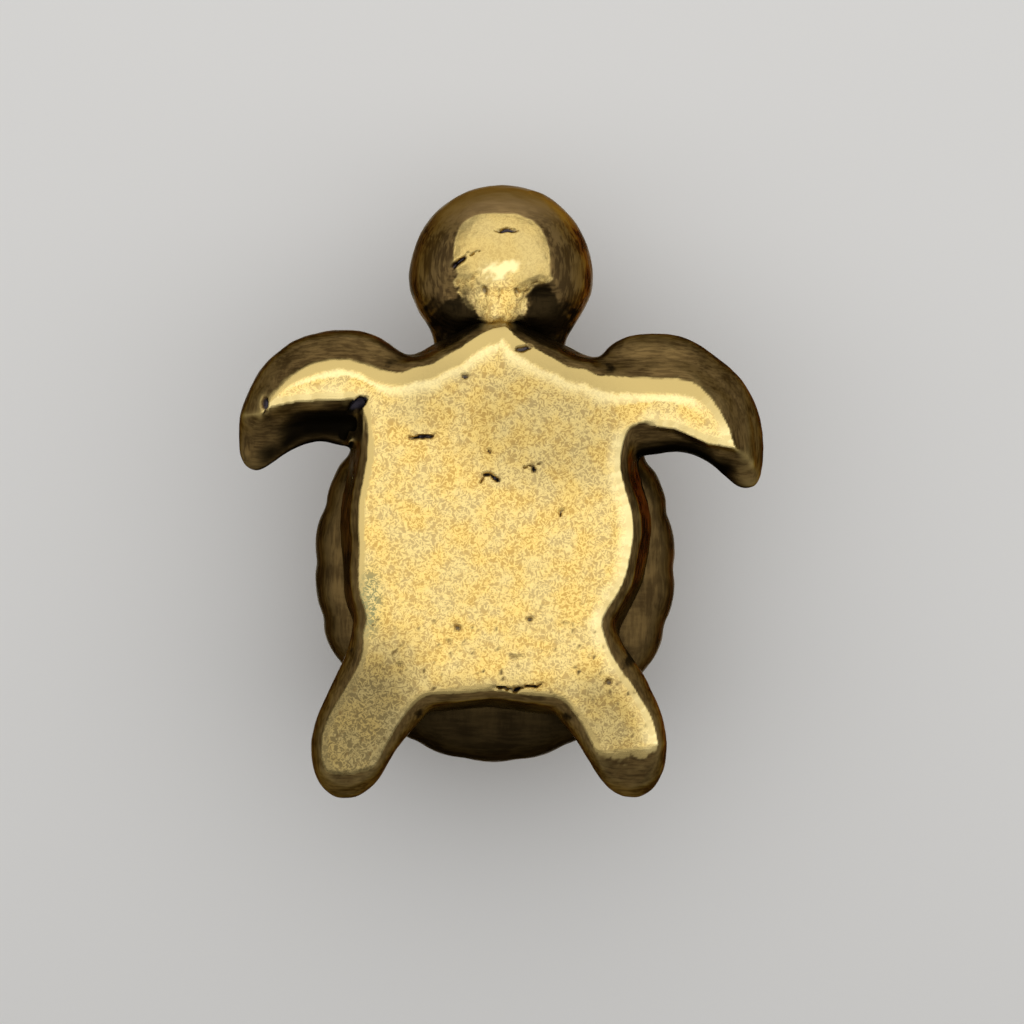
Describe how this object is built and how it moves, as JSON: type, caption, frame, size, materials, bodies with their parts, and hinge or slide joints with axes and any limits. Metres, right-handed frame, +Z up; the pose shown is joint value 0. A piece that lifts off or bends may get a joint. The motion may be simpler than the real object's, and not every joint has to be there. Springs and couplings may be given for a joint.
{
  "type": "turtle figurine",
  "caption": "Small solid cast brass turtle with a ball head, curved flippers, a scuted domed shell and a flat ground belly that it rests on.",
  "frame": {"origin": "on the ground belly, on the turtle's middle line, midway between the tips of head and feet", "axes": "+Z up from the belly to the crown of the shell, -Y towards the head, +X to the turtle's left"},
  "size_m": [0.0242, 0.0285, 0.0116],
  "materials": {
    "brass": "cast brass with a dark brown patina, worn bright and grainy on the ground belly and polished under the head"
  },
  "bodies": {
    "root": {"carapace": "brass", "plastron": "brass", "neck": "brass", "head": "brass", "left_eye": "brass", "right_eye": "brass", "left_fore_flipper": "brass", "right_fore_flipper": "brass", "left_hind_foot": "brass", "right_hind_foot": "brass"}
  },
  "joints": []
}
